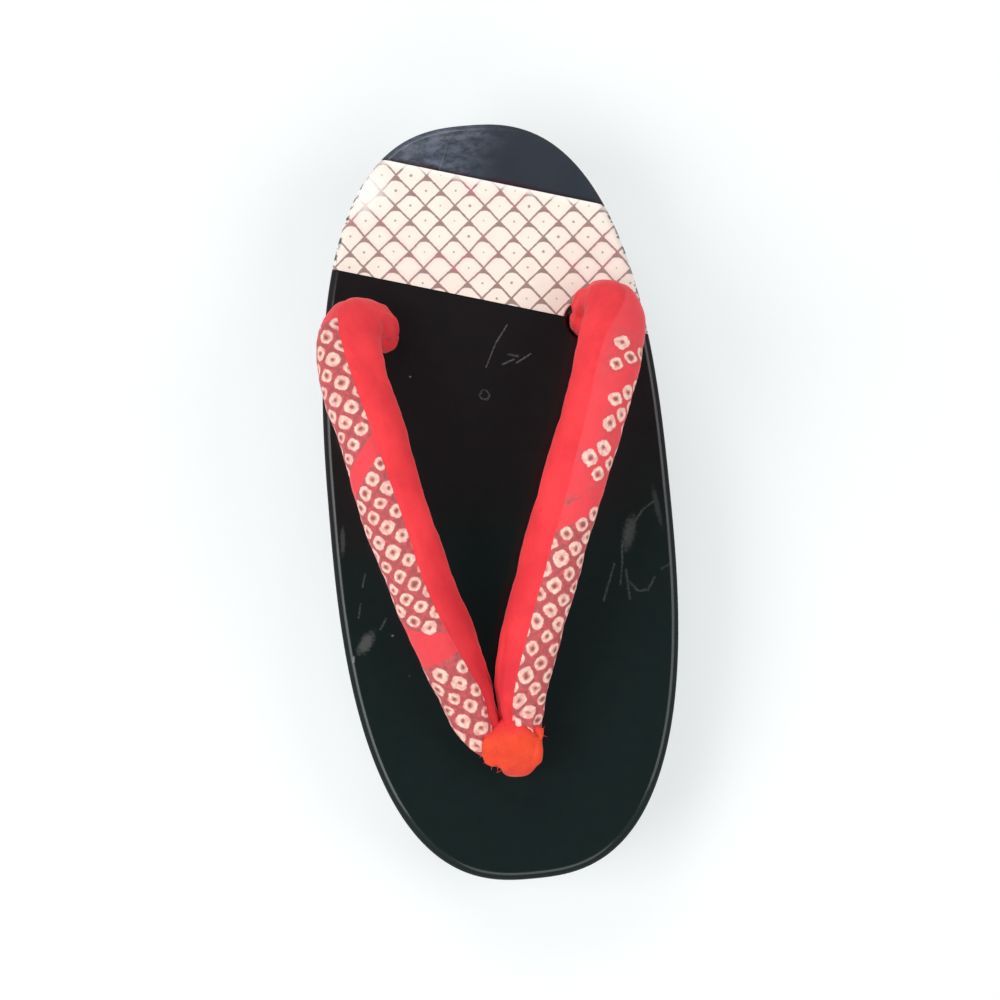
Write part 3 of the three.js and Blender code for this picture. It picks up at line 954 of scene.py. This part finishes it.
# Rubbed patches: x, y, half length, half width, lean in degrees, and strength
RUBBED = [
    (-43.4, -38.6, 4.6, 2.2, 52, 0.34),
    (37.4, -13.2, 6.4, 2.2, 74, 0.24),
    (-47.6, -43.2, 1.2, 0.5, 80, 1),
    (40.3, -87.2, 1, 0.5, 60, 1),
    (-23.3, 38.8, 0.45, 0.35, 0, 0.7),
    (-35.4, -37.2, 0.45, 0.4, 0, 0.7),
    (-47.6, -8, 5, 0.9, 86, 0.2),
    (46.5, -6, 7, 1.1, 97, 0.14),
]
DENT = (-1.7, 31.5)  # a small round mark
DENT_RADIUS = 1.4


def scratch_mask(s, place):
    """How far the bed is scratched or rubbed at a place, from 0 to 1."""
    x, y, _ = s.split(place)
    flat = s.join(x, y)
    wobble = s.noise(flat, 0.9, 2) - 0.5
    found = 0.0
    for ax, ay, bx, by, half_width, strength in SCRATCHES:
        run = Vector((bx - ax, by - ay, 0))
        beside = s.vector("SUBTRACT", flat, (ax, ay, 0))
        share = s.vector("DOT_PRODUCT", beside, tuple(run))
        share = s.math("DIVIDE", share, run.length_squared, clamp=True)
        nearest = s.vector("SCALE", tuple(run), scale=share)
        away = s.vector("DISTANCE", beside, nearest) + wobble * 0.5
        found = s.most(found, s.smooth(away, 1.5 * half_width, 0.0, 0.0, strength))
    grit = s.smooth(s.noise(flat, 1.6, 4, 0.7), 0.36, 0.6)
    found *= grit * 0.8 + 0.2
    for cx, cy, half_length, half_width, lean, strength in RUBBED:
        cosine, sine = math.cos(math.radians(lean)), math.sin(math.radians(lean))
        beside = s.vector("SUBTRACT", flat, (cx, cy, 0))
        run = s.vector("DOT_PRODUCT", beside, (cosine / half_length, sine / half_length, 0))
        off = s.vector("DOT_PRODUCT", beside, (-sine / half_width, cosine / half_width, 0))
        reach = s.vector("LENGTH", s.join(run, off)) + wobble * 0.9
        found = s.most(found, s.smooth(reach, 1.1, 0.35, 0.0, strength))
    off = abs(s.vector("DISTANCE", flat, (*DENT, 0)) + wobble * 1.6 - DENT_RADIUS)
    return s.most(found, s.smooth(off, 0.4, 0.05, 0.0, 0.42) * grit)


def band_distance(x, y):
    """Distance from the band's middle line, positive towards the heel."""
    return x * math.sin(BAND_SLANT) + (y - (HALF_LENGTH - BAND_FROM_HEEL)) * math.cos(BAND_SLANT)


def bed_depth(y, z):
    """Distance straight down from the bed."""
    return y * SLOPE + bed_height(0) - z


def lacquer():
    s = Shade("black_lacquer")
    place = s.place()
    x, y, z = s.split(place)
    marks = scratch_mask(s, place)
    drift = s.noise(place, 0.03, 3)
    greenish = s.smooth(y + drift * 60.0, 0, 45)
    tint = s.mix(greenish, linear(14, 27, 26), linear(24, 20, 21))
    # heel end beyond the band: painted reflection, a lighter bluish tone with a hazy, streaky brighter
    # patch at the left that thins out to the right; that patch also makes the lacquer rougher
    depth = bed_depth(y, z)
    on_bed = s.smooth(depth, 2.4, 1.0)
    heel = s.smooth(band_distance(x, y), 17, 19) * on_bed
    leftness = s.smooth(x - y * 0.55, -42, -68)
    streaky = s.noise(s.vector("MULTIPLY", place, (0.6, 1.2, 1)), 0.4, 6, 0.72)
    cloudy = s.noise(place, 0.07, 5, 0.6)
    painted_reflection = s.smooth(streaky, 0.3, 0.75) * leftness
    painted_reflection = s.math("ADD", painted_reflection * 0.8, cloudy * 0.14, clamp=True)
    painted_reflection *= heel
    base = s.mix(heel * 0.8, tint, linear(42, 49, 56))
    base = s.mix(painted_reflection, base, linear(104, 112, 128))
    # dark red bleed along the band's upper edge
    bleed = s.smooth(band_distance(x, y), 19.5, 17.4)
    bleed = bleed * heel * s.smooth(s.noise(place, 0.12, 2), 0.45, 0.6)
    base = s.mix(bleed * 0.7, base, linear(70, 18, 36))
    # chips and dust
    cells = s.node("ShaderNodeTexVoronoi", {"Vector": place, "Scale": 0.16}, feature="F1")
    sparse = s.split(cells.beside("Color"))[0] > 0.82
    dust = s.smooth(cells, 0.05, 0.02) * sparse
    marks = s.most(marks, dust * 0.35)
    base = s.mix(marks, base, linear(120, 124, 120))
    # wear under the blocks, where they meet the ground
    ground = s.smooth(z, 1.4, 0.2)
    drawn_out = s.noise(s.vector("MULTIPLY", place, (1, 0.25, 1)), 0.3, 5, 0.65)
    rubbed = ground * s.smooth(drawn_out, 0.42, 0.62)
    base = s.mix(rubbed, base, linear(128, 100, 74))
    rough = s.noise(place, 0.25, 4) * 0.12 + 0.24
    rough += s.most(marks, rubbed, painted_reflection) * 0.4
    grain = s.noise(s.vector("MULTIPLY", place, (0.9, 0.05, 0.9)), 1.0, 3)
    peel = s.noise(place, 0.11, 2)
    fine = s.noise(place, 1.4, 2)
    normal = s.bump(peel, 0.35, 0.35)
    normal = s.bump(grain, 0.03, 0.5, normal)
    normal = s.bump(fine, 0.012, 0.4, normal)
    normal = s.bump(marks * -1.0, 0.05, 1.0, normal)
    # the bed's rim is dulled by handling
    rim = s.smooth(depth, 0.05, 0.5) * s.smooth(depth, 3.2, 2.2)
    rough += rim * 0.4
    gloss = s.smooth(s.most(marks, rubbed), 0.2, 0.8, 0.6, 0.1)
    gloss *= s.smooth(rim, 0.0, 1.0, 1.0, 0.0)
    s.set(Base_Color=base, Roughness=rough, Normal=normal, Specular_IOR_Level=0.2)
    s.set(Coat_Weight=gloss, Coat_Roughness=0.08, Coat_IOR=1.45, Coat_Normal=s.bump(peel, 0.35, 0.25))
    return s.material


# Band print: a net of diamonds whose upper corners are filled under a low dome. Diamonds
# follow one another by two steps, one rising to the right and one falling.
NET_START = (15.6, 77.3)
NET_RISING = (4.96, 4.18)
NET_FALLING = (3.88, -4.96)
NET_AREA = NET_RISING[0] * NET_FALLING[1] - NET_RISING[1] * NET_FALLING[0]
NET_LINE = 0.5
DOME = 3.3
DOME_BOW = 0.17
BAND_WEAVE = 14.0  # radians a millimetre


def printed_cream():
    s = Shade("band_print")
    place = s.place()
    x, y, z = s.split(place)
    flat = s.vector("SUBTRACT", s.shifted(place, place, 0.08, 1.2), (*NET_START, 0))
    a = s.vector("DOT_PRODUCT", flat, (NET_FALLING[1] / NET_AREA, -NET_FALLING[0] / NET_AREA, 0))
    b = s.vector("DOT_PRODUCT", flat, (-NET_RISING[1] / NET_AREA, NET_RISING[0] / NET_AREA, 0))
    cell_a = s.math("ROUND", a)
    cell_b = s.math("ROUND", b)
    off_a = a - cell_a
    off_b = b - cell_b
    cell = s.join(cell_a, cell_b, 0.5)
    local_x = off_a * NET_RISING[0] + off_b * NET_FALLING[0]
    local_y = off_a * NET_RISING[1] + off_b * NET_FALLING[1]
    # distance in from the diamond's sides, and from the dome
    pitch = abs(NET_AREA) / math.hypot(*NET_RISING)
    side = (0.5 - s.most(abs(off_a), abs(off_b))) * pitch
    dome = DOME - abs(local_x) ** 2.0 * DOME_BOW - local_y
    inside = s.least(side, dome) + (s.noise(place, 1.2, 2) - 0.5) * 0.35
    line = s.smooth(inside, NET_LINE / 2 + 0.18, NET_LINE / 2 - 0.12)
    halo = s.smooth(inside, 1.7, 0.4)
    chance = s.random(cell)
    pink_area = s.smooth(s.noise(place, 0.045, 2), 0.45, 0.62)
    line_colour = s.mix(s.noise(place, 0.25, 2), linear(140, 116, 110), linear(168, 134, 128))
    pink_line = pink_area * s.smooth(s.noise(place, 0.35, 2), 0.5, 0.62)
    line_colour = s.mix(pink_line * 0.6, line_colour, linear(186, 108, 118))
    cream = s.mix(s.noise(place, 0.15, 2), linear(247, 236, 223), linear(242, 225, 213))
    cream = s.mix(halo * pink_area * 0.3, cream, linear(240, 200, 200))
    dot = s.vector("LENGTH", s.join(local_x, local_y)) + chance * 0.32
    dot = s.smooth(dot, 0.64, 0.3) * (chance > 0.08)
    # the print is fainter and whiter towards the upper left corner and along the upper edge
    corner = s.vector("DISTANCE", s.join(x, y), (-33, 96, 0))
    faded = s.smooth(corner + s.noise(place, 0.2, 3) * 8.0, 15, 6, 0.0, 0.85)
    top_edge = s.smooth(band_distance(x, y), 15.3, 17)
    faded = s.most(faded, top_edge * 0.6)
    ink = s.most(line, dot * 0.85) * (1.0 - faded)
    base = s.mix(ink, cream, line_colour)
    base = s.mix(faded * 0.6, base, linear(255, 252, 250))
    # lacquer shows through where the rim is rubbed
    depth = bed_depth(y, z)
    chipped = s.smooth(depth, 0.35, 1.0) * s.smooth(s.noise(place, 0.35, 4, 0.65), 0.5, 0.58)
    base = s.mix(chipped, base, linear(44, 40, 40))
    weave = s.math("SINE", x * BAND_WEAVE) * s.math("SINE", y * BAND_WEAVE)
    normal = s.bump(weave, 0.03, 0.35)
    normal = s.bump(s.noise(place, 0.5, 3), 0.08, 0.4, normal)
    normal = s.bump(ink, 0.03, 0.5, normal)
    rough = s.noise(place, 0.4, 2) * 0.12 + 0.48
    s.set(Base_Color=base, Roughness=rough, Normal=normal, Coat_Weight=0.15, Coat_Roughness=0.3)
    return s.material


# Spot-dyed rings on the straps' outer halves
RING_PITCH = 5.1
RING_OUTER = 1.98
RING_INNER = 0.95
RING_SQUARENESS = 2.6
RING_MARGIN = 0.9  # least distance of a ring's middle from plain cloth
# strengths of the painted shade that darkens each strap's velvet towards its front end
LEFT_PAINTED_FRONT_SHADE = 0.6
RIGHT_PAINTED_FRONT_SHADE = 0.15


def plain_share(s, walked, outward, margin, gaps, plain_stretches):
    """1 where the cloth has no rings, with its border moved out by margin."""
    plain = 0.0
    for start, slant, half_width, widening in gaps:
        away = abs(walked - (outward * slant + start))
        reached = outward * widening + half_width - away + margin
        plain = s.most(plain, s.smooth(reached, -0.15, 0.15))
    for start, stop, reach_out in plain_stretches:
        inside = s.least(walked - start, stop - walked)
        inside = s.least(inside, reach_out - outward)
        plain = s.most(plain, s.smooth(inside + margin, -0.15, 0.15))
    return plain


def strap_cloth(name, gaps, plain_stretches, net_end, painted_front_shade):
    """Red velvet inward of the seam, ring print outward; the last argument is how strongly painted shade
    darkens the front end.
    """
    s = Shade(name)
    cloth = s.cloth()
    place = s.place()
    walked, outward, _ = s.split(cloth)
    printed_at = s.node("ShaderNodeUVMap", uv_map="print")
    count, share, _ = s.split(s.shifted(printed_at, cloth, 0.2, 0.2))
    a = count + share
    b = count - share
    cell_a = s.math("ROUND", a)
    cell_b = s.math("ROUND", b)
    off_a = abs((a - cell_a) * RING_PITCH)
    off_b = abs((b - cell_b) * RING_PITCH)
    chance = s.random(s.join(cell_a, cell_b, 3.1))
    second_chance = s.random(s.join(cell_a, cell_b, 7.7))
    reach = (off_a ** RING_SQUARENESS + off_b ** RING_SQUARENESS) ** (1 / RING_SQUARENESS)
    ragged = s.noise(cloth, 0.9, 3, 0.6) - 0.5
    reach += ragged
    outer = RING_OUTER - 0.25 + chance * 0.45
    disc = s.smooth(reach - outer, 0.2, -0.2)
    uneven = reach - second_chance * 0.35
    hole = s.smooth(uneven, RING_INNER, RING_INNER - 0.45)
    dot = s.smooth(uneven, 0.48, 0.12)
    # cloth without rings: a ring is there or not as a whole, by where its middle is
    bare = plain_share(s, walked, outward, ragged * 1.4, gaps, plain_stretches)
    rows_off = count - (cell_a + cell_b) * 0.5
    columns_off = share - (cell_a - cell_b) * 0.5
    middle_walked = walked - rows_off * ROW_SPACING
    middle_outward = outward - columns_off * (2 * COLUMN_SPACING)
    ringless = plain_share(s, middle_walked, middle_outward, RING_MARGIN, gaps, plain_stretches)
    ringless = s.most(ringless, chance > 0.975)
    ring = disc * (1.0 - ringless)
    mottled = s.noise(cloth, 0.8, 3, 0.6)
    between = s.mix(s.smooth(mottled, 0.35, 0.65), linear(220, 90, 95), linear(192, 88, 92))
    border = RING_PITCH / 2 - s.most(off_a, off_b)
    border = s.smooth(border, 1.1, 0.0) * s.smooth(mottled, 0.3, 0.6, 0.1, 0.8)
    between = s.mix(border, between, linear(156, 86, 86))
    rose = s.mix(s.noise(cloth, 0.2, 2), linear(242, 76, 82), linear(228, 70, 80))
    netless = s.smooth(walked, net_end - 2, net_end + 2, 0.0, 0.75)
    ground = s.mix(s.most(bare, netless), between, rose)
    stained = s.smooth(s.noise(cloth, 0.6, 3, 0.6), 0.35, 0.7)
    cream = s.mix(stained, linear(250, 214, 198), linear(232, 166, 158))
    printed = s.mix(ring, ground, cream)
    printed = s.mix(ring * hole * 0.85, printed, linear(206, 122, 112))
    printed = s.mix(ring * dot * 0.8, printed, linear(128, 72, 68))
    worn = s.smooth(s.noise(cloth, 0.06, 4, 0.6), 0.3, 0.7)
    velvet = s.mix(worn, linear(248, 66, 71), linear(226, 54, 63))
    # painted shade: the velvet darkens towards the front end
    velvet = s.mix(s.smooth(walked, 80, 25, 0.0, painted_front_shade), velvet, linear(190, 36, 48))
    printed_side = s.smooth(outward + ragged * 0.3, -0.12, 0.12)
    base = s.mix(printed_side, velvet, printed)
    threads = s.node(
        "ShaderNodeTexWave",
        {"Vector": cloth, "Scale": 1.3, "Distortion": 2.5, "Detail": 2.0},
        "Fac",
        bands_direction="DIAGONAL",
    )
    nap = s.noise(place, 3.2, 3, 0.7)
    lumps = s.noise(place, 0.35, 3)
    normal = s.bump(lumps, 0.5, 0.3)
    normal = s.bump(nap, 0.1, 0.5, normal)
    normal = s.bump(threads * printed_side, 0.05, 0.5, normal)
    raised = (ring - dot * 0.5) * printed_side
    normal = s.bump(raised, 0.2, 0.5, normal)
    s.set(Base_Color=base, Roughness=nap * 0.15 + 0.72, Normal=normal)
    s.set(Specular_IOR_Level=0.2, Sheen_Weight=0.42, Sheen_Roughness=0.3)
    s.set(Sheen_Tint=linear(255, 196, 200))
    return s.material


def velvet(name, deep, bright, sheen, joint=None):
    s = Shade(name)
    place = s.place()
    worn = s.noise(place, 0.22, 4, 0.6)
    base = s.mix(worn, deep, bright)
    if joint:
        # towards the joint the cloth is dyed as the straps are
        _, y, _ = s.split(place)
        near = s.smooth(y + worn * 6.0, FRONT_HOLE_Y + 4, FRONT_HOLE_Y + 9)
        edge = s.smooth(y + worn * 3.0, FRONT_HOLE_Y - 4, FRONT_HOLE_Y - 7.5)
        base = s.mix(s.most(near, edge * 0.55), base, joint)
    pile = s.noise(place, 2.6, 3, 0.7)
    # painted sheen: the sheen colour is mixed faintly into the base colour where the pile noise is high
    base = s.mix(s.smooth(pile, 0.5, 0.7) * 0.12, base, sheen)
    normal = s.bump(s.noise(place, 0.5, 3), 0.4, 0.35)
    normal = s.bump(pile, 0.12, 0.6, normal)
    s.set(Base_Color=base, Roughness=pile * 0.15 + 0.75, Normal=normal)
    s.set(Sheen_Weight=0.5, Sheen_Roughness=0.35, Sheen_Tint=sheen, Specular_IOR_Level=0.2)
    return s.material


def paint(piece, material):
    piece.data.materials.clear()
    piece.data.materials.append(material)


def floor_paint():
    s = Shade("floor")
    place = s.place()
    base = s.mix(s.noise(place, 0.004, 2), linear(172, 174, 175), linear(178, 179, 179))
    s.set(Base_Color=base, Roughness=0.7, Specular_IOR_Level=0.2)
    s.set(Emission_Color=(0.97, 1, 1, 1), Emission_Strength=0.54)
    return s.material


# The scene

angles = even_angles()
sole = make_sole(angles)
band = make_band(angles)
left_strap = make_strap("strap_left", LEFT_STRAP, -1, LEFT_CREASES, LEFT_PRINT, LEFT_GAPS)
right_strap = make_strap("strap_right", RIGHT_STRAP, 1, RIGHT_CREASES, RIGHT_PRINT, RIGHT_GAPS)
thong = make_thong()
stem_top = (-STEM_PLAY / 2, FRONT_HOLE_Y, bed_height(FRONT_HOLE_Y) + THONG_THICKNESS / 2)
stem_path = np.linspace(stem_top, (0, FRONT_HOLE_Y, POCKET_DEPTH), STEM_POINTS)
stem = twisted_cord("thong_stem", stem_path, FRONT_HOLE / 2 - STEM_PLAY)
smooth(stem, SHARP_FROM)
frays = make_frays()
front_knot = make_knot("knot_front", 0, FRONT_HOLE_Y, POCKET_DEPTH, 0)
rear_ceiling = bed_height(REAR_HOLE_Y) - BOARD_THICKNESS
rear_knots = [
    make_knot(name, side * REAR_HOLE_SPACING / 2, REAR_HOLE_Y, rear_ceiling, math.atan(SLOPE))
    for name, side in (("knot_rear_left", -1), ("knot_rear_right", 1))
]

orange = velvet(
    "thong_cloth", linear(214, 56, 34), linear(246, 84, 50), linear(255, 160, 140), linear(232, 54, 58)
)
cord_red = velvet("knot_cord", linear(196, 40, 48), linear(222, 58, 64), linear(255, 150, 150))
paint(sole, lacquer())
paint(band, printed_cream())
left_cloth = strap_cloth("strap_cloth_left", LEFT_GAPS, LEFT_PLAIN, LEFT_NET_END, LEFT_PAINTED_FRONT_SHADE)
right_cloth = strap_cloth("strap_cloth_right", RIGHT_GAPS, RIGHT_PLAIN, RIGHT_NET_END, RIGHT_PAINTED_FRONT_SHADE)
paint(left_strap, left_cloth)
paint(right_strap, right_cloth)
for piece in (thong, stem, frays, front_knot):
    paint(piece, orange)
for piece in rear_knots:
    paint(piece, cord_red)

for piece, node, slot in [
    (sole, "sole", "black_lacquer"),
    (band, "heel_band", "band_print"),
    (left_strap, "straps", "strap_cloth"),
    (right_strap, "straps", "strap_cloth"),
    (thong, "toe_thong", "thong_cloth"),
    (stem, "toe_thong", "thong_cloth"),
    (frays, "toe_thong", "thong_cloth"),
    (front_knot, "front_knot", "thong_cloth"),
    (rear_knots[0], "rear_knot_left", "knot_cord"),
    (rear_knots[1], "rear_knot_right", "knot_cord"),
]:
    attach(piece, "root")
    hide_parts(node)

FLOOR_REACH = 3000
floor_corners = [(x * FLOOR_REACH, y * FLOOR_REACH, 0) for x, y in ((-1, -1), (1, -1), (1, 1), (-1, 1))]
floor = add_mesh("floor", floor_corners, [(0, 1, 2, 3)])
paint(floor, floor_paint())

LIT_PLACE = (0, 0, 0.04)


def area_light(name, place, size, power):
    """Soft light aimed at the sandal; place and size are in metres, power in watts."""
    data = bpy.data.lights.new(name, "AREA")
    data.shape = "RECTANGLE"
    data.size, data.size_y = size
    data.energy = power
    light = bpy.data.objects.new(name, data)
    light.location = place
    light.rotation_mode = "QUATERNION"
    light.rotation_quaternion = (Vector(LIT_PLACE) - Vector(place)).to_track_quat("-Z", "Y")
    bpy.context.scene.collection.objects.link(light)


area_light("left", (-1.15, -0.25, 1.35), (1.1, 1.1), 18)
area_light("right", (1.15, -0.2, 1.35), (1.1, 1.1), 10.5)
area_light("toe_side", (0.1, -1.3, 1.3), (1.2, 0.9), 8.5)
area_light("heel_side", (-0.4, 1.25, 1.25), (1.0, 0.8), 10)

# A pale studio, brighter at the walls than overhead
world = bpy.data.worlds.new("studio")
world.use_nodes = True
nodes = world.node_tree.nodes
links = world.node_tree.links
direction = nodes.new("ShaderNodeTexCoord")
parts = nodes.new("ShaderNodeSeparateXYZ")
brightness = nodes.new("ShaderNodeMapRange")
brightness.interpolation_type = "SMOOTHSTEP"
for key, value in {"From Min": 0.35, "From Max": 0.92, "To Min": 0.42, "To Max": 0.08}.items():
    brightness.inputs[key].default_value = value
links.new(direction.outputs["Generated"], parts.inputs[0])
links.new(parts.outputs["Z"], brightness.inputs["Value"])
links.new(brightness.outputs["Result"], nodes["Background"].inputs["Strength"])
nodes["Background"].inputs["Color"].default_value = (0.9, 0.95, 1, 1)
bpy.context.scene.world = world
bpy.context.scene.view_settings.view_transform = "Standard"

# Camera over the bed, as the photo's view of it: to the side, along and over, from its middle
CAMERA_ASIDE = -43
CAMERA_ALONG = -30
CAMERA_OVER = 990
LENS = 120
SENSOR = 36
LEAN = math.radians(5.2)
bed_normal = Vector((0, -SLOPE, 1)).normalized()
bed_along = Vector((0, 1, SLOPE)).normalized()
bed_middle = Vector((0, 0, bed_height(0)))
eye = bed_middle + CAMERA_ASIDE * Vector((1, 0, 0)) + CAMERA_ALONG * bed_along + CAMERA_OVER * bed_normal
eye *= MM
forward = (bed_middle * MM - eye).normalized()
right = forward.cross(bed_along).normalized()
upright = right.cross(forward)
up = upright * math.cos(LEAN) + right * math.sin(LEAN)
right = forward.cross(up)
camera_data = bpy.data.cameras.new("camera")
camera_data.lens = LENS
camera_data.sensor_width = SENSOR
camera_data.clip_end = 20
camera = bpy.data.objects.new("camera", camera_data)
camera.matrix_world = Matrix((
    (right.x, up.x, -forward.x, eye.x),
    (right.y, up.y, -forward.y, eye.y),
    (right.z, up.z, -forward.z, eye.z),
    (0, 0, 0, 1),
))
bpy.context.scene.collection.objects.link(camera)
bpy.context.scene.camera = camera

bpy.context.view_layer.update()
